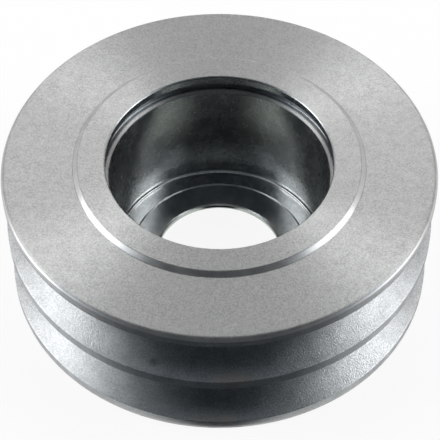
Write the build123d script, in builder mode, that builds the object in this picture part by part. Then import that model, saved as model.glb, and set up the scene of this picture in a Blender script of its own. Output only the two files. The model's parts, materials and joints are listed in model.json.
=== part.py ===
from build123d import *
from math import radians, tan
import os

# All sizes are in millimetres. The pulley stands on its rear face, with its axis along Z.

# Belt grooves and the rims beside them
groove_count = 2
groove_top_width = 10.85
groove_floor_width = 3.38
groove_angle = 36.0
groove_root_chamfer = 0.8
groove_edge_break = 0.12
front_rim_width = 2.15
middle_rim_width = 2.1
rear_rim_width = 2.55
front_rim_chamfer = 0.68
rear_rim_chamfer = 0.5

# Bearing seat, open to the front, and the metal between it and the groove roots
bearing_seat_diameter = 42.0
seat_floor_fillet = 0.4
seat_lead_in = 0.35
wall_behind_grooves = 8.5

# Groove for the retaining ring, and the lip in front of it
ring_groove_width = 1.85
ring_groove_depth = 1.25
lip_length = 1.62
lip_relief = 0.45
lip_chamfer = 0.3

# Low ring round the mouth, raised above the front face
hub_ring_width = 5.1
hub_ring_height = 0.82
hub_step_run = 1.05

# Rear web: a flat shoulder for the bearing's outer ring, a small step down from it,
# then a shallow dish to the shaft hole
shaft_hole_diameter = 25.0
hole_chamfer = 0.25
web_at_hole = 1.1
web_dish = 0.55
shoulder_width = 3.4
shoulder_step = 0.2

# Radii, from the inside out
shaft_hole_radius = shaft_hole_diameter / 2
seat_radius = bearing_seat_diameter / 2
shoulder_inner_radius = seat_radius - shoulder_width
lip_radius = seat_radius + lip_relief
ring_groove_radius = seat_radius + ring_groove_depth
hub_ring_radius = lip_radius + hub_ring_width
root_radius = seat_radius + wall_behind_grooves
flank_slope = tan(radians(groove_angle / 2))
groove_depth = (groove_top_width - groove_floor_width) / 2 / flank_slope
rim_radius = root_radius + groove_depth

# Heights, from the rear face up
dish_top = web_at_hole + web_dish
shoulder_height = dish_top + shoulder_step
groove_pitch = groove_top_width + middle_rim_width
first_groove_centre = rear_rim_width + groove_top_width / 2
front_face = rear_rim_width + groove_count * groove_pitch - middle_rim_width + front_rim_width
hub_face = front_face + hub_ring_height
ring_groove_front = hub_face - lip_length
ring_groove_back = ring_groove_front - ring_groove_width

# How far a cutting profile runs on past the surface that it opens
overrun = 1.0
edge_tolerance = 0.001


def ring_edge(part, radius, height):
    """Return the circular edges of the part that have this radius and height."""
    circles = part.edges().filter_by(GeomType.CIRCLE)
    at_radius = circles.filter_by(lambda edge: abs(edge.radius - radius) < edge_tolerance)
    return at_radius.filter_by(lambda edge: abs(edge.arc_center.Z - height) < edge_tolerance)


with BuildPart() as pulley:
    # Turned blank: a disc with the low hub ring standing on its front face
    Cylinder(rim_radius, front_face, align=(Align.CENTER, Align.CENTER, Align.MIN))
    chamfer(ring_edge(pulley, rim_radius, 0), rear_rim_chamfer)
    chamfer(ring_edge(pulley, rim_radius, front_face), front_rim_chamfer)
    with Locations((0, 0, front_face)):
        Cone(
            hub_ring_radius + hub_step_run,
            hub_ring_radius,
            hub_ring_height,
            align=(Align.CENTER, Align.CENTER, Align.MIN),
        )

    # V grooves: half of the section is drawn and mirrored, with straight flanks,
    # a root cleared at its corners and a small break where each flank meets the rim
    for groove in range(groove_count):
        groove_centre = first_groove_centre + groove * groove_pitch
        section_plane = Plane((0, 0, groove_centre), x_dir=(1, 0, 0), z_dir=(0, -1, 0))
        with BuildSketch(section_plane) as groove_section:
            with BuildLine():
                break_start_radius = rim_radius - groove_edge_break
                break_start = groove_top_width / 2 - groove_edge_break * flank_slope
                break_end = break_start + groove_edge_break + overrun
                Polyline(
                    (root_radius, 0),
                    (root_radius, groove_floor_width / 2),
                    (break_start_radius, break_start),
                    (rim_radius + overrun, break_end),
                    (rim_radius + overrun, 0),
                )
                mirror(about=Plane.XZ)
            make_face()
            chamfer(groove_section.vertices().group_by(Axis.X)[0], groove_root_chamfer)
        revolve(axis=Axis.Z, mode=Mode.SUBTRACT)

    # Bearing seat, the retaining ring's groove in front of it, and the lip
    with BuildSketch(Plane.XZ) as seat_section:
        with BuildLine():
            Polyline(
                (0, shoulder_height),
                (seat_radius, shoulder_height),
                (seat_radius, ring_groove_back),
                (ring_groove_radius, ring_groove_back),
                (ring_groove_radius, ring_groove_front),
                (lip_radius, ring_groove_front),
                (lip_radius, hub_face + overrun),
                (0, hub_face + overrun),
                close=True,
            )
        make_face()
    revolve(axis=Axis.Z, mode=Mode.SUBTRACT)
    chamfer(ring_edge(pulley, lip_radius, hub_face), lip_chamfer)
    chamfer(ring_edge(pulley, seat_radius, ring_groove_back), seat_lead_in)
    fillet(ring_edge(pulley, seat_radius, shoulder_height), seat_floor_fillet)

    # Dish inside the shoulder, and the shaft hole through the web
    with BuildSketch(Plane.XZ) as dish_section:
        with BuildLine():
            Polyline(
                (0, web_at_hole),
                (shaft_hole_radius, web_at_hole),
                (shoulder_inner_radius - shoulder_step, dish_top),
                (shoulder_inner_radius, shoulder_height),
                (0, shoulder_height),
                close=True,
            )
        make_face()
    revolve(axis=Axis.Z, mode=Mode.SUBTRACT)
    Hole(shaft_hole_radius)
    chamfer(ring_edge(pulley, shaft_hole_radius, web_at_hole), hole_chamfer)

os.makedirs("parts", exist_ok=True)
pulley.part.label = "pulley"
export_step(pulley.part, "parts/pulley.step")
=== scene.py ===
import json
from math import cos, pi, radians, sin, tan

import bmesh
import bpy
from mathutils import Euler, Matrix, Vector


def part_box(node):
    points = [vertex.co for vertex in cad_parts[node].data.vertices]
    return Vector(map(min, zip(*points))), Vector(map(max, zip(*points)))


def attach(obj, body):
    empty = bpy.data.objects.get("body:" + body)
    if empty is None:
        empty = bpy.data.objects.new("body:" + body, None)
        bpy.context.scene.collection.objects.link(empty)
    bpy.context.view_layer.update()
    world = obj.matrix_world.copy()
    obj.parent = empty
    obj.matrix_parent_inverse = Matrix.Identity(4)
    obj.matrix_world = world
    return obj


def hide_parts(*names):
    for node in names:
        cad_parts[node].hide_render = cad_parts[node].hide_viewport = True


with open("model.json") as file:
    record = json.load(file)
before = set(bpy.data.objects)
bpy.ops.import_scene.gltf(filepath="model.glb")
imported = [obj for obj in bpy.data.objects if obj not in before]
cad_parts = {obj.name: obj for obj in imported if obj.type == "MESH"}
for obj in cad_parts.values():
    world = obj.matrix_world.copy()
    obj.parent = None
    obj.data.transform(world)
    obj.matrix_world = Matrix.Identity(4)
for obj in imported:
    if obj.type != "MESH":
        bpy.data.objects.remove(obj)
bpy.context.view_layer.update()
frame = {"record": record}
print("frame loaded")

mm = 0.001
weldGap = 0.001 * mm  # points closer than this become one
mounts = {mount["name"]: mount for mount in frame["record"]["mounts"]}
lowCorner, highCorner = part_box("pulley")

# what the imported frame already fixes, in metres
rimRadius = min(highCorner.x, highCorner.y, -lowCorner.x, -lowCorner.y)
hubFace = highCorner.z
seatRadius = mounts["bearing_seat"]["dims"]["r_mm"] * mm
holeRadius = mounts["shaft_hole"]["dims"]["r_mm"] * mm
rearGroove = mounts["rear_belt_groove"]["pos_m"][2]
frontGroove = mounts["front_belt_groove"]["pos_m"][2]


# the turned pulley: one section, swept round the axis
pulleySizes = {
    "grooveTop": 10.85 * mm,
    "grooveFloor": 3.38 * mm,
    "flankAngle": radians(18),
    "rootRound": 1.0 * mm,
    "frontChamfer": 0.68 * mm,
    "rearChamfer": 0.5 * mm,
    "hubHeight": 0.82 * mm,
    "hubStepRun": 1.05 * mm,
    "hubStepSplit": 0.15,  # share of the step, at its head and its foot, that is finished as the faces are
    "hubRingWidth": 5.1 * mm,
    "lipRelief": 0.45 * mm,
    "lipLength": 1.62 * mm,
    "lipChamfer": 0.3 * mm,
    "ringGrooveWidth": 1.85 * mm,
    "ringGrooveDepth": 1.25 * mm,
    "seatLeadIn": 0.35 * mm,
    "seatFloorRound": 0.4 * mm,
    "shoulderWidth": 3.4 * mm,
    "shoulderStep": 0.2 * mm,
    "webAtHole": 1.1 * mm,
    "webDish": 0.55 * mm,
    "holeChamfer": 0.25 * mm,
    "edgeRound": 0.1 * mm,  # every sharp edge, once it has been broken
    "rimRound": 0.5 * mm,  # both corners of the rim chamfers
    "hold": 0.06 * mm,  # a flat runs true up to this close to its corner
    "cornerShare": 0.45,  # the most of a flat that the round at one of its ends takes up
    "spindle": 1.0 * mm,  # radius of the path that the section is swept along
    "stepsRound": 360,
    "cornerSteps": 4,
    "grooveCount": 2,
}

finishes = [
    "faced steel", "edge steel", "groove steel", "rim steel",
    "bored steel", "web steel", "recess steel with painted shade",
]
faced, edged, grooved, rimmed, bored, webbed, paintedShadeRecess = range(len(finishes))
once, eachGroove, betweenGrooves = range(3)


def sectionLines(size):
    # runs round the section from the rear rim inwards, out through the bore and back down the rims
    frontFace = hubFace - size["hubHeight"]
    grooveMouth = size["grooveTop"] / 2
    rootRadius = rimRadius - (grooveMouth - size["grooveFloor"] / 2) / tan(size["flankAngle"])
    lipRadius = seatRadius + size["lipRelief"]
    hubRadius = lipRadius + size["hubRingWidth"]
    ringRadius = seatRadius + size["ringGrooveDepth"]
    ringFront = hubFace - size["lipLength"]
    ringBack = ringFront - size["ringGrooveWidth"]
    shoulderRadius = seatRadius - size["shoulderWidth"]
    dishTop = size["webAtHole"] + size["webDish"]
    shoulder = dishTop + size["shoulderStep"]
    holeTop = size["webAtHole"] + size["holeChamfer"] * size["webDish"] / (shoulderRadius - holeRadius)
    strip = 4 * size["hold"]  # what a finish keeps of the flat beyond its last corner
    edge = size["edgeRound"]
    rearChamfer = size["rearChamfer"]
    frontChamfer = size["frontChamfer"]
    rimSplit = size["rimRound"]
    rearLand = rearGroove - grooveMouth - strip
    frontLand = frontGroove + grooveMouth + strip
    middleLand = rearGroove + grooveMouth + strip
    middleTop = frontGroove - grooveMouth - strip
    seatSplit = shoulder + 3 * size["seatFloorRound"]  # the web's finish runs this far up the seat
    # a change of finish lies half way down a chamfer or just inside the hub step, so that no flat shows it
    halfRear = (rimRadius - rearChamfer / 2, rearChamfer / 2, 0)
    halfFront = (rimRadius - frontChamfer / 2, frontFace - frontChamfer / 2, 0)
    halfMouth = (lipRadius + size["lipChamfer"] / 2, hubFace - size["lipChamfer"] / 2, 0)
    leadFoot = (seatRadius, ringBack - size["seatLeadIn"] - strip, 0)
    leadHead = (seatRadius + size["seatLeadIn"] + strip, ringBack, 0)
    lipFoot = (lipRadius + strip, ringFront, 0)
    stepRun, stepDrop = size["hubStepRun"], size["hubHeight"] * size["hubStepSplit"]
    stepHead = (hubRadius + stepRun * size["hubStepSplit"], hubFace - stepDrop, 0)
    stepFoot = (hubRadius + stepRun * (1 - size["hubStepSplit"]), frontFace + stepDrop, 0)
    return [
        (once, rimmed, [
            (rimRadius, rearLand, 0),
            (rimRadius, rearChamfer + rimSplit, 0),
        ]),
        (once, edged, [
            (rimRadius, rearChamfer + rimSplit, 0),
            (rimRadius, rearChamfer, size["rimRound"]),
            halfRear,
        ]),
        (once, faced, [
            halfRear,
            (rimRadius - rearChamfer, 0, size["rimRound"]),
            (holeRadius + strip, 0, 0),
        ]),
        (once, webbed, [
            (holeRadius + strip, 0, 0),
            (holeRadius, 0, edge),
            (holeRadius, holeTop - size["holeChamfer"], edge / 2),
            (holeRadius + size["holeChamfer"], holeTop, edge),
            (shoulderRadius - size["shoulderStep"], dishTop, edge),
            (shoulderRadius, shoulder, edge),
            (seatRadius, shoulder, size["seatFloorRound"]),
            (seatRadius, seatSplit, 0),
        ]),
        (once, bored, [
            (seatRadius, seatSplit, 0),
            leadFoot,
        ]),
        (once, faced, [
            leadFoot,
            (seatRadius, ringBack - size["seatLeadIn"], edge),
            (seatRadius + size["seatLeadIn"], ringBack, edge),
            leadHead,
        ]),
        # the ring groove, in the darker steel that paints the shade under the lip
        (once, paintedShadeRecess, [
            leadHead,
            (ringRadius, ringBack, edge * 2),
            (ringRadius, ringFront, edge * 2),
            lipFoot,
        ]),
        (once, bored, [
            lipFoot,
            (lipRadius, ringFront, edge / 2),
            (lipRadius, hubFace - size["lipChamfer"], edge),
            halfMouth,
        ]),
        (once, faced, [
            halfMouth,
            (lipRadius + size["lipChamfer"], hubFace, edge),
            (hubRadius, hubFace, edge),
            stepHead,
        ]),
        (once, edged, [
            stepHead,
            stepFoot,
        ]),
        (once, faced, [
            stepFoot,
            (hubRadius + stepRun, frontFace, edge),
            (rimRadius - frontChamfer, frontFace, size["rimRound"]),
            halfFront,
        ]),
        (once, edged, [
            halfFront,
            (rimRadius, frontFace - frontChamfer, size["rimRound"]),
            (rimRadius, frontFace - frontChamfer - rimSplit, 0),
        ]),
        (once, rimmed, [
            (rimRadius, frontFace - frontChamfer - rimSplit, 0),
            (rimRadius, frontLand, 0),
        ]),
        (betweenGrooves, rimmed, [
            (rimRadius, middleTop, 0),
            (rimRadius, middleLand, 0),
        ]),
        (eachGroove, grooved, [
            (rimRadius, middleLand, 0),
            (rimRadius, rearGroove + grooveMouth, edge),
            (rootRadius, rearGroove + size["grooveFloor"] / 2, size["rootRound"]),
            (rootRadius, rearGroove - size["grooveFloor"] / 2, size["rootRound"]),
            (rimRadius, rearGroove - grooveMouth, edge),
            (rimRadius, rearLand, 0),
        ]),
    ]


def drawSection(size):
    # one edge for each straight run, with a holding point beside every corner that gets rounded
    points, edges, rounds, repeats, tools = [], [], [], [], []
    for repeat, finish, corners in sectionLines(size):
        line = []
        for index, (radius, height, cornerRound) in enumerate(corners):
            here = Vector((radius, 0, height))
            if not cornerRound:
                line.append((here, 0))
                continue
            before = Vector((corners[index - 1][0], 0, corners[index - 1][1])) - here
            after = Vector((corners[index + 1][0], 0, corners[index + 1][1])) - here
            reach = cornerRound / tan(before.angle(after) / 2)
            shorter = min(before.length, after.length)
            reach = min(reach + size["hold"], shorter * size["cornerShare"])
            line.append((here + before.normalized() * reach, 0))
            line.append((here, cornerRound))
            line.append((here + after.normalized() * reach, 0))
        start = len(points)
        for index, (place, cornerRound) in enumerate(line):
            points.append(place)
            rounds.append(cornerRound)
            repeats.append(repeat)
            tools.append(finish)
            if index:
                edges.append((start + index - 1, start + index))
    mesh = bpy.data.meshes.new("section")
    mesh.from_pydata(points, edges, [])
    columns = (("cornerRound", "FLOAT", rounds), ("repeat", "INT", repeats), ("finish", "INT", tools))
    for name, kind, values in columns:
        mesh.attributes.new(name, kind, "POINT").data.foreach_set("value", values)
    return mesh


def namedInput(tree, name, kind):
    tree.interface.new_socket(name, in_out="INPUT", socket_type=kind)


def readAttribute(tree, name, kind):
    node = tree.nodes.new("GeometryNodeInputNamedAttribute")
    node.data_type = kind
    node.inputs["Name"].default_value = name
    return node.outputs["Attribute"]


def isEqual(tree, value, number):
    node = tree.nodes.new("FunctionNodeCompare")
    node.data_type = "INT"
    node.operation = "EQUAL"
    # 2 and 3 are the node's sockets for whole numbers
    tree.links.new(value, node.inputs[2])
    node.inputs[3].default_value = number
    return node.outputs["Result"]


def latheTree():
    # repeats the belt groove along the axis, rounds the corners and turns the section round the axis
    tree = bpy.data.node_groups.new("turn on the lathe", "GeometryNodeTree")
    tree.is_modifier = True
    nodes, link = tree.nodes, tree.links.new
    namedInput(tree, "Section", "NodeSocketGeometry")
    namedInput(tree, "Groove Count", "NodeSocketInt")
    namedInput(tree, "Groove Pitch", "NodeSocketFloat")
    namedInput(tree, "Spindle Radius", "NodeSocketFloat")
    namedInput(tree, "Steps Round", "NodeSocketInt")
    namedInput(tree, "Corner Steps", "NodeSocketInt")
    for finish in finishes:
        namedInput(tree, finish, "NodeSocketMaterial")
    tree.interface.new_socket("Pulley", in_out="OUTPUT", socket_type="NodeSocketGeometry")
    given = nodes.new("NodeGroupInput").outputs

    repeat = readAttribute(tree, "repeat", "INT")
    joined = nodes.new("GeometryNodeJoinGeometry")
    fewer = nodes.new("FunctionNodeIntegerMath")
    fewer.operation = "SUBTRACT"
    fewer.inputs[1].default_value = 1
    link(given["Groove Count"], fewer.inputs[0])
    pitch = nodes.new("ShaderNodeCombineXYZ")
    link(given["Groove Pitch"], pitch.inputs["Z"])
    for kind, count in ((eachGroove, given["Groove Count"]), (betweenGrooves, fewer.outputs[0])):
        part = nodes.new("GeometryNodeSeparateGeometry")
        link(given["Section"], part.inputs["Geometry"])
        link(isEqual(tree, repeat, kind), part.inputs["Selection"])
        places = nodes.new("GeometryNodeMeshLine")
        link(count, places.inputs["Count"])
        link(pitch.outputs["Vector"], places.inputs["Offset"])
        copies = nodes.new("GeometryNodeInstanceOnPoints")
        link(places.outputs["Mesh"], copies.inputs["Points"])
        link(part.outputs["Selection"], copies.inputs["Instance"])
        made = nodes.new("GeometryNodeRealizeInstances")
        link(copies.outputs["Instances"], made.inputs["Geometry"])
        link(made.outputs["Geometry"], joined.inputs["Geometry"])
    single = nodes.new("GeometryNodeSeparateGeometry")
    link(given["Section"], single.inputs["Geometry"])
    link(isEqual(tree, repeat, once), single.inputs["Selection"])
    link(single.outputs["Selection"], joined.inputs["Geometry"])

    lines = nodes.new("GeometryNodeMeshToCurve")
    link(joined.outputs["Geometry"], lines.inputs["Mesh"])
    rounded = nodes.new("GeometryNodeFilletCurve")
    rounded.mode = "POLY"
    link(lines.outputs["Curve"], rounded.inputs["Curve"])
    link(given["Corner Steps"], rounded.inputs["Count"])
    link(readAttribute(tree, "cornerRound", "FLOAT"), rounded.inputs["Radius"])

    # the sweep takes its profile flat: x is how far out from the path, and y points down
    here = nodes.new("GeometryNodeInputPosition")
    parts = nodes.new("ShaderNodeSeparateXYZ")
    link(here.outputs["Position"], parts.inputs["Vector"])
    across = nodes.new("ShaderNodeMath")
    across.operation = "SUBTRACT"
    link(parts.outputs["X"], across.inputs[0])
    link(given["Spindle Radius"], across.inputs[1])
    down = nodes.new("ShaderNodeMath")
    down.operation = "MULTIPLY"
    down.inputs[1].default_value = -1
    link(parts.outputs["Z"], down.inputs[0])
    flat = nodes.new("ShaderNodeCombineXYZ")
    link(across.outputs["Value"], flat.inputs["X"])
    link(down.outputs["Value"], flat.inputs["Y"])
    laid = nodes.new("GeometryNodeSetPosition")
    link(rounded.outputs["Curve"], laid.inputs["Geometry"])
    link(flat.outputs["Vector"], laid.inputs["Position"])

    # how far along its line each point lies, for the tool marks
    along = nodes.new("GeometryNodeSplineParameter")
    marked = nodes.new("GeometryNodeStoreNamedAttribute")
    marked.data_type = "FLOAT"
    marked.domain = "POINT"
    marked.inputs["Name"].default_value = "along"
    link(laid.outputs["Geometry"], marked.inputs["Geometry"])
    link(along.outputs["Length"], marked.inputs["Value"])

    path = nodes.new("GeometryNodeCurvePrimitiveCircle")
    link(given["Steps Round"], path.inputs["Resolution"])
    link(given["Spindle Radius"], path.inputs["Radius"])
    swept = nodes.new("GeometryNodeCurveToMesh")
    link(path.outputs["Curve"], swept.inputs["Curve"])
    link(marked.outputs["Geometry"], swept.inputs["Profile Curve"])
    keptFinish = nodes.new("GeometryNodeStoreNamedAttribute")
    keptFinish.data_type = "INT"
    keptFinish.domain = "FACE"
    keptFinish.inputs["Name"].default_value = "finish"
    link(swept.outputs["Mesh"], keptFinish.inputs["Geometry"])
    link(readAttribute(tree, "finish", "INT"), keptFinish.inputs["Value"])
    welded = nodes.new("GeometryNodeMergeByDistance")
    welded.inputs["Distance"].default_value = weldGap
    link(keptFinish.outputs["Geometry"], welded.inputs["Geometry"])
    whole = nodes.new("GeometryNodeRealizeInstances")
    link(welded.outputs["Geometry"], whole.inputs["Geometry"])
    painted = whole.outputs["Geometry"]
    kept = readAttribute(tree, "finish", "INT")
    for index, finish in enumerate(finishes):
        paint = nodes.new("GeometryNodeSetMaterial")
        link(painted, paint.inputs["Geometry"])
        link(isEqual(tree, kept, index), paint.inputs["Selection"])
        link(given[finish], paint.inputs["Material"])
        painted = paint.outputs["Geometry"]
    link(painted, nodes.new("NodeGroupOutput").inputs["Pulley"])
    return tree


def setInput(modifier, name, value):
    for item in modifier.node_group.interface.items_tree:
        if item.item_type == "SOCKET" and item.in_out == "INPUT" and item.name == name:
            modifier[item.identifier] = value


def turnPulley(size, materials):
    blank = bpy.data.objects.new("pulley section", drawSection(size))
    bpy.context.scene.collection.objects.link(blank)
    lathe = blank.modifiers.new("lathe", "NODES")
    lathe.node_group = latheTree()
    setInput(lathe, "Groove Count", size["grooveCount"])
    setInput(lathe, "Groove Pitch", frontGroove - rearGroove)
    setInput(lathe, "Spindle Radius", size["spindle"])
    setInput(lathe, "Steps Round", size["stepsRound"])
    setInput(lathe, "Corner Steps", size["cornerSteps"])
    for finish in finishes:
        setInput(lathe, finish, materials[finish])
    evaluated = blank.evaluated_get(bpy.context.evaluated_depsgraph_get())
    mesh = bpy.data.meshes.new_from_object(evaluated)
    blank.modifiers.remove(lathe)
    bpy.data.objects.remove(blank)
    # the section had no steel of its own, which leaves an empty slot in front
    while mesh.materials and mesh.materials[0] is None:
        mesh.materials.pop(index=0)
    work = bmesh.new()
    work.from_mesh(mesh)
    bmesh.ops.remove_doubles(work, verts=work.verts, dist=weldGap)
    bmesh.ops.recalc_face_normals(work, faces=work.faces)
    for face in work.faces:
        face.smooth = True
    work.to_mesh(mesh)
    work.free()
    pulley = bpy.data.objects.new("turned_pulley", mesh)
    bpy.context.scene.collection.objects.link(pulley)
    return pulley


def eased(tree, value, start, end, low, high):
    # low up to the start, high from the end on, and a soft step between them
    node = tree.nodes.new("ShaderNodeMapRange")
    node.interpolation_type = "SMOOTHSTEP"
    node.inputs["From Min"].default_value = start
    node.inputs["From Max"].default_value = end
    node.inputs["To Min"].default_value = low
    node.inputs["To Max"].default_value = high
    tree.links.new(value, node.inputs["Value"])
    return node.outputs["Result"]


# one steel for each way the pulley is finished
steelLooks = {
    "faced steel": {
        "colour": (0.372, 0.375, 0.37), "roughness": 0.5, "anisotropy": 0.9, "grazing": 0.5,
        "grain": 1.0, "mottle": 0.5, "rings": 0.05, "bump": 0.012 * mm,
    },
    "edge steel": {
        "colour": (0.5, 0.5, 0.495), "roughness": 0.36, "anisotropy": 0.7, "grazing": 1.0,
        "grain": 0.4, "mottle": 0.3, "rings": 0.05, "bump": 0.004 * mm,
    },
    "groove steel": {
        "colour": (0.54, 0.552, 0.56), "roughness": 0.36, "anisotropy": 0.8, "grazing": 0.3,
        "grain": 1.2, "mottle": 0.5, "rings": 0.05, "bump": 0.05 * mm,
    },
    "rim steel": {
        "colour": (0.545, 0.556, 0.56), "roughness": 0.42, "anisotropy": 0.8, "grazing": 0.1,
        "grain": 0.8, "mottle": 0.5, "rings": 0.1, "bump": 0.015 * mm,
    },
    "bored steel": {
        "colour": (0.355, 0.37, 0.376), "roughness": 0.27, "anisotropy": 0.7, "grazing": 0.45,
        "grain": 1.4, "mottle": 0.7, "rings": 0.05, "bump": 0.012 * mm,
    },
    # darker than the bored steel: painted shade for the ring groove, which lies in the shadow of the lip
    "recess steel with painted shade": {
        "colour": (0.28, 0.295, 0.305), "roughness": 0.28, "anisotropy": 0.7, "grazing": 0.4,
        "grain": 1.0, "mottle": 0.6, "rings": 0.05, "bump": 0.006 * mm,
    },
    "web steel": {
        "colour": (0.555, 0.57, 0.57), "roughness": 0.2, "anisotropy": 0.45, "grazing": 0.6,
        "grain": 1.1, "mottle": 0.6, "rings": 0.1, "bump": 0.001 * mm,
    },
}

steelTexture = {
    "grainSize": 0.27 * mm,
    "grainDetail": 2,
    "mottleSize": 2.6 * mm,
    "mottleDetail": 3,
    "ringPitch": 0.3 * mm,
    "ringWaver": 30,  # how fast a tool mark changes on its way round, for each metre
    "roughnessSwing": 0.3,
    "highlightTurn": 0.25,  # a quarter turn, so that highlights spread across the tool marks
}

# marks on the fronts of the two grooves, and how far each reaches to its sides, back and up
wear = {
    "smudge": {
        "place": Vector((-11.7, -37.0, 16.2)) * mm, "reach": Vector((1.7, 1.3, 0.9)) * mm,
        "colour": (0.16, 0.17, 0.18, 1), "strength": 1.2,
    },
    "upper stain": {
        "place": Vector((2.6, -40.3, 15.3)) * mm, "reach": Vector((6.5, 2.6, 1.6)) * mm,
        "colour": (0.74, 0.58, 0.47, 1), "strength": 1.1,
    },
    "lower stain": {
        "place": Vector((-0.8, -40.3, 2.6)) * mm, "reach": Vector((8.0, 2.6, 1.2)) * mm,
        "colour": (0.74, 0.6, 0.5, 1), "strength": 1.0,
    },
}


def addMark(tree, colour, place, spots, mark):
    # an oval that fades towards its edge and breaks up with the spots
    nodes, link = tree.nodes, tree.links.new
    away = nodes.new("ShaderNodeVectorMath")
    away.operation = "SUBTRACT"
    away.inputs[1].default_value = mark["place"]
    link(place, away.inputs[0])
    reached = nodes.new("ShaderNodeVectorMath")
    reached.operation = "DIVIDE"
    reached.inputs[1].default_value = mark["reach"]
    link(away.outputs["Vector"], reached.inputs[0])
    length = nodes.new("ShaderNodeVectorMath")
    length.operation = "LENGTH"
    link(reached.outputs["Vector"], length.inputs[0])
    patchy = nodes.new("ShaderNodeMath")
    patchy.operation = "MULTIPLY"
    link(eased(tree, length.outputs["Value"], 0, 1, mark["strength"], 0), patchy.inputs[0])
    link(spots, patchy.inputs[1])
    # with colours, a Mix node takes its share at 0, its colours at 6 and 7, and gives the result at 2
    mix = nodes.new("ShaderNodeMix")
    mix.data_type = "RGBA"
    link(patchy.outputs["Value"], mix.inputs[0])
    link(colour, mix.inputs[6])
    mix.inputs[7].default_value = mark["colour"]
    return mix.outputs[2]


def turnedSteel(name, look, texture):
    material = bpy.data.materials.new(name)
    material.use_nodes = True
    nodes, link = material.node_tree.nodes, material.node_tree.links.new
    shader = nodes["Principled BSDF"]
    shader.inputs["Metallic"].default_value = 1
    shader.inputs["Anisotropic"].default_value = look["anisotropy"]
    shader.inputs["Anisotropic Rotation"].default_value = texture["highlightTurn"]
    shader.inputs["Specular Tint"].default_value = (look["grazing"], look["grazing"], look["grazing"], 1)
    tangent = nodes.new("ShaderNodeTangent")
    tangent.direction_type = "RADIAL"
    tangent.axis = "Z"
    link(tangent.outputs["Tangent"], shader.inputs["Tangent"])
    place = nodes.new("ShaderNodeTexCoord")

    def noise(size, detail):
        node = nodes.new("ShaderNodeTexNoise")
        node.inputs["Scale"].default_value = 1 / size
        node.inputs["Detail"].default_value = detail
        link(place.outputs["Object"], node.inputs["Vector"])
        return node.outputs["Fac"]

    def scaled(value, amount, added):
        # the noise times the amount, on top of what is added
        node = nodes.new("ShaderNodeMath")
        node.operation = "MULTIPLY_ADD"
        node.inputs[1].default_value = amount
        link(value, node.inputs[0])
        if isinstance(added, float):
            node.inputs[2].default_value = added
        else:
            link(added, node.inputs[2])
        return node.outputs["Value"]

    grain = noise(texture["grainSize"], texture["grainDetail"])
    mottle = noise(texture["mottleSize"], texture["mottleDetail"])

    # tool marks: noise that changes across the rings and hardly round them
    along = nodes.new("ShaderNodeAttribute")
    along.attribute_name = "along"
    across = nodes.new("ShaderNodeMath")
    across.operation = "DIVIDE"
    across.inputs[1].default_value = texture["ringPitch"]
    link(along.outputs["Fac"], across.inputs[0])
    slow = nodes.new("ShaderNodeMapping")
    slow.inputs["Scale"].default_value = (texture["ringWaver"], texture["ringWaver"], 0)
    link(place.outputs["Object"], slow.inputs["Vector"])
    ring = nodes.new("ShaderNodeCombineXYZ")
    link(across.outputs["Value"], ring.inputs["Z"])
    ringPlace = nodes.new("ShaderNodeVectorMath")
    link(slow.outputs["Vector"], ringPlace.inputs[0])
    link(ring.outputs["Vector"], ringPlace.inputs[1])
    rings = nodes.new("ShaderNodeTexNoise")
    rings.inputs["Scale"].default_value = 1
    link(ringPlace.outputs["Vector"], rings.inputs["Vector"])

    # a noise is a half on average, so the colour keeps its own level
    total = (look["grain"] + look["mottle"] + look["rings"]) / 2
    level = scaled(grain, look["grain"], 1 - total)
    level = scaled(mottle, look["mottle"], level)
    level = scaled(rings.outputs["Fac"], look["rings"], level)
    tone = nodes.new("ShaderNodeVectorMath")
    tone.operation = "SCALE"
    tone.inputs[0].default_value = look["colour"]
    link(level, tone.inputs["Scale"])
    colour = tone.outputs["Vector"]
    if name in ("groove steel", "rim steel"):
        for mark in wear.values():
            colour = addMark(material.node_tree, colour, place.outputs["Object"], mottle, mark)
    link(colour, shader.inputs["Base Color"])
    swing = texture["roughnessSwing"]
    roughness = scaled(mottle, look["roughness"] * swing, look["roughness"] * (1 - swing / 2))
    link(roughness, shader.inputs["Roughness"])

    bump = nodes.new("ShaderNodeBump")
    bump.inputs["Distance"].default_value = look["bump"]
    link(grain, bump.inputs["Height"])
    link(bump.outputs["Normal"], shader.inputs["Normal"])
    return material


materials = {name: turnedSteel(name, look, steelTexture) for name, look in steelLooks.items()}
print("steels made:", len(materials))
pulley = turnPulley(pulleySizes, materials)
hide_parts("pulley")
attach(pulley, "root")
print("pulley turned:", len(pulley.data.polygons), "faces")


# the studio; a height or depth in its room is that of a direction, where 1 is straight up or straight back
studio = {
    "floorSize": 3.0,
    "floorSides": 64,
    "floorColour": (0.86, 0.86, 0.86),
    "floorGlow": 0.9,
    "wall": 1.0,
    "wallHeight": (0.0, 0.04),  # where the plain wall along the horizon gives way to the room above it
    "backWall": 0.98,
    "darkEnd": 0.042,
    "darkEndDepth": (-0.6, -0.1),
    "darkEndTint": (0.83, 1.0, 1.17, 1),
    "tintDepth": (-0.4, 0.3),
    "ceiling": 0.09,
    "ceilingHeight": (0.62, 0.76),
    "skylight": 0.3,
    "skylightHeight": (0.92, 0.985),
    "cardWidth": 0.5,
    "cardStart": -0.0415,
    "cardEnd": -0.4,
    "cardHeight": 0.3 * mm,  # above the floor
    # the black of the sheets that paint shade into reflections
    "shadeSheetColour": (0.012, 0.017, 0.022, 1),
    "cardRoughness": 0.9,
    "padRadius": 0.024,
    "padSides": 48,
    "padSide": (2.4 * mm, 4.6 * mm),  # how far aside the pad begins to lighten, and where it is lightest
    "padBack": (2.0 * mm, 6.0 * mm),  # the same, towards the back
    "padGlow": 0.8,
    "padTint": (0.93, 1.0, 0.88, 1),
    "lampDistance": 0.9,
}

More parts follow.
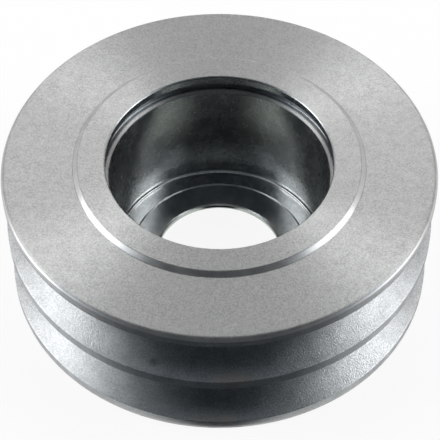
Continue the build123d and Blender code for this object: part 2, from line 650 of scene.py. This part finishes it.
# in degrees; bearing 0 is to the right of the pulley, 90 behind it
softboxes = {
    "right_box": {"bearing": 0, "elevation": 38, "width": 26, "height": 38, "radiance": 3.95},
    "left_box": {"bearing": 177, "elevation": 35, "width": 29, "height": 46, "radiance": 3.7},
    "back_box": {"bearing": 90, "elevation": 56, "width": 32, "height": 24, "radiance": 3.4},
}


def makeFloor(look):
    work = bmesh.new()
    bmesh.ops.create_circle(work, cap_ends=True, segments=look["floorSides"], radius=look["floorSize"])
    mesh = bpy.data.meshes.new("floor")
    work.to_mesh(mesh)
    work.free()
    floor = bpy.data.objects.new("floor", mesh)
    bpy.context.scene.collection.objects.link(floor)
    material = bpy.data.materials.new("pale floor")
    material.use_nodes = True
    nodes, link = material.node_tree.nodes, material.node_tree.links.new
    nodes.clear()
    matt = nodes.new("ShaderNodeBsdfDiffuse")
    matt.inputs["Color"].default_value = (*look["floorColour"], 1)
    glow = nodes.new("ShaderNodeEmission")
    ray = nodes.new("ShaderNodeLightPath")
    seen = nodes.new("ShaderNodeMath")
    seen.operation = "ADD"
    link(ray.outputs["Is Camera Ray"], seen.inputs[0])
    link(ray.outputs["Is Glossy Ray"], seen.inputs[1])
    through = nodes.new("ShaderNodeMath")
    through.operation = "ADD"
    link(seen.outputs["Value"], through.inputs[0])
    link(ray.outputs["Is Transmission Ray"], through.inputs[1])
    share = nodes.new("ShaderNodeMath")
    share.operation = "MULTIPLY"
    share.inputs[1].default_value = look["floorGlow"]
    link(through.outputs["Value"], share.inputs[0])
    mix = nodes.new("ShaderNodeMixShader")
    link(share.outputs["Value"], mix.inputs["Fac"])
    link(matt.outputs["BSDF"], mix.inputs[1])
    link(glow.outputs["Emission"], mix.inputs[2])
    link(mix.outputs["Shader"], nodes.new("ShaderNodeOutputMaterial").inputs["Surface"])
    mesh.materials.append(material)


def makeRoom(look):
    # a pale wall behind the pulley and along the horizon, a dim ceiling with a skylight, and a dark end
    # behind the camera
    world = bpy.data.worlds.new("studio room")
    bpy.context.scene.world = world
    world.use_nodes = True
    tree = world.node_tree
    nodes, link = tree.nodes, tree.links.new
    place = nodes.new("ShaderNodeTexCoord")
    split = nodes.new("ShaderNodeSeparateXYZ")
    link(place.outputs["Generated"], split.inputs["Vector"])
    depth = eased(tree, split.outputs["Y"], *look["darkEndDepth"], look["darkEnd"], look["backWall"])
    height = eased(tree, split.outputs["Z"], *look["ceilingHeight"], 1, look["ceiling"])
    room = nodes.new("ShaderNodeMath")
    room.operation = "MULTIPLY"
    link(depth, room.inputs[0])
    link(height, room.inputs[1])
    level = nodes.new("ShaderNodeMix")
    level.inputs["A"].default_value = look["wall"]
    lit = nodes.new("ShaderNodeMath")
    lit.operation = "ADD"
    link(room.outputs["Value"], lit.inputs[0])
    link(eased(tree, split.outputs["Z"], *look["skylightHeight"], 0, look["skylight"]), lit.inputs[1])
    link(eased(tree, split.outputs["Z"], *look["wallHeight"], 0, 1), level.inputs["Factor"])
    link(lit.outputs["Value"], level.inputs["B"])
    tint = nodes.new("ShaderNodeMix")
    tint.data_type = "RGBA"
    tint.inputs[6].default_value = look["darkEndTint"]
    tint.inputs[7].default_value = (1, 1, 1, 1)
    link(eased(tree, split.outputs["Y"], *look["tintDepth"], 0, 1), tint.inputs[0])
    link(tint.outputs[2], nodes["Background"].inputs["Color"])
    link(level.outputs["Result"], nodes["Background"].inputs["Strength"])


def layCard(name, work, material, height):
    # a card just above the floor that only the metal sees: it paints shade, and light where it glows, into
    # the metal's reflections
    bmesh.ops.translate(work, verts=work.verts, vec=(0, 0, height))
    mesh = bpy.data.meshes.new(name)
    work.to_mesh(mesh)
    work.free()
    mesh.materials.append(material)
    card = bpy.data.objects.new(name, mesh)
    bpy.context.scene.collection.objects.link(card)
    card.visible_camera = False
    card.visible_diffuse = False
    card.visible_shadow = False
    card.visible_transmission = False


def paintedShadeSheet(look):
    # a black sheet that only reflections see: painted shade
    material = bpy.data.materials.new("painted reflection shade")
    material.use_nodes = True
    paper = material.node_tree.nodes["Principled BSDF"]
    paper.inputs["Base Color"].default_value = look["shadeSheetColour"]
    paper.inputs["Roughness"].default_value = look["cardRoughness"]
    return material


def frontShadeCard(look):
    # in front of the pulley, out of the picture: painted shade in the reflections on the fronts of its
    # grooves
    half, near, far = look["cardWidth"] / 2, look["cardStart"], look["cardEnd"]
    work = bmesh.new()
    corners = [(-half, near), (-half, far), (half, far), (half, near)]
    work.faces.new([work.verts.new((x, y, 0)) for x, y in corners])
    layCard("front_painted_reflection_shade", work, paintedShadeSheet(look), look["cardHeight"])


def holeShadePad(look):
    # under the shaft hole: black, which paints the shadow under the hole into reflections, with a glowing
    # patch to each side at the back, which paints two lighter bands of reflected light into the bore
    material = paintedShadeSheet(look)
    tree = material.node_tree
    nodes, link = tree.nodes, tree.links.new
    place = nodes.new("ShaderNodeTexCoord")
    split = nodes.new("ShaderNodeSeparateXYZ")
    link(place.outputs["Object"], split.inputs["Vector"])
    aside = nodes.new("ShaderNodeMath")
    aside.operation = "ABSOLUTE"
    link(split.outputs["X"], aside.inputs[0])
    # the painted glow: lighter to each side and towards the back
    patch = nodes.new("ShaderNodeMath")
    patch.operation = "MULTIPLY"
    link(eased(tree, aside.outputs["Value"], *look["padSide"], 0, look["padGlow"]), patch.inputs[0])
    link(eased(tree, split.outputs["Y"], *look["padBack"], 0, 1), patch.inputs[1])
    paper = nodes["Principled BSDF"]
    paper.inputs["Emission Color"].default_value = look["padTint"]
    link(patch.outputs["Value"], paper.inputs["Emission Strength"])
    work = bmesh.new()
    bmesh.ops.create_circle(work, cap_ends=True, segments=look["padSides"], radius=look["padRadius"])
    layCard("hole_painted_shadow_and_glow", work, material, look["cardHeight"])


def hangSoftbox(name, box, distance):
    light = bpy.data.lights.new(name, "AREA")
    light.shape = "RECTANGLE"
    light.size = 2 * distance * tan(radians(box["width"] / 2))
    light.size_y = 2 * distance * tan(radians(box["height"] / 2))
    light.energy = box["radiance"] * pi * light.size * light.size_y
    lamp = bpy.data.objects.new(name, light)
    bearing, elevation = radians(box["bearing"]), radians(box["elevation"])
    away = Vector((cos(elevation) * cos(bearing), cos(elevation) * sin(bearing), sin(elevation)))
    lamp.location = away * distance
    lamp.rotation_euler = away.to_track_quat("Z", "Y").to_euler()
    bpy.context.scene.collection.objects.link(lamp)


makeFloor(studio)
makeRoom(studio)
frontShadeCard(studio)
holeShadePad(studio)
for name, box in softboxes.items():
    hangSoftbox(name, box, studio["lampDistance"])
print("studio lit")


# the camera, at the photograph's angle
view = {
    "elevation": radians(50.342),
    "distance": 310.8 * mm,
    "aim": Vector((0.133 * mm, 0, 11.28 * mm)),
    "lens": 129.73,
    "sensorWidth": 36,
    "nearest": 0.01,
}

cameraData = bpy.data.cameras.new("camera")
cameraData.lens = view["lens"]
cameraData.sensor_width = view["sensorWidth"]
cameraData.clip_start = view["nearest"]
camera = bpy.data.objects.new("camera", cameraData)
back = Vector((0, -cos(view["elevation"]), sin(view["elevation"])))
camera.location = view["aim"] + back * view["distance"]
camera.rotation_euler = Euler((pi / 2 - view["elevation"], 0, 0))
bpy.context.scene.collection.objects.link(camera)
bpy.context.scene.camera = camera
bpy.context.scene.view_settings.view_transform = "Standard"
print("camera set")
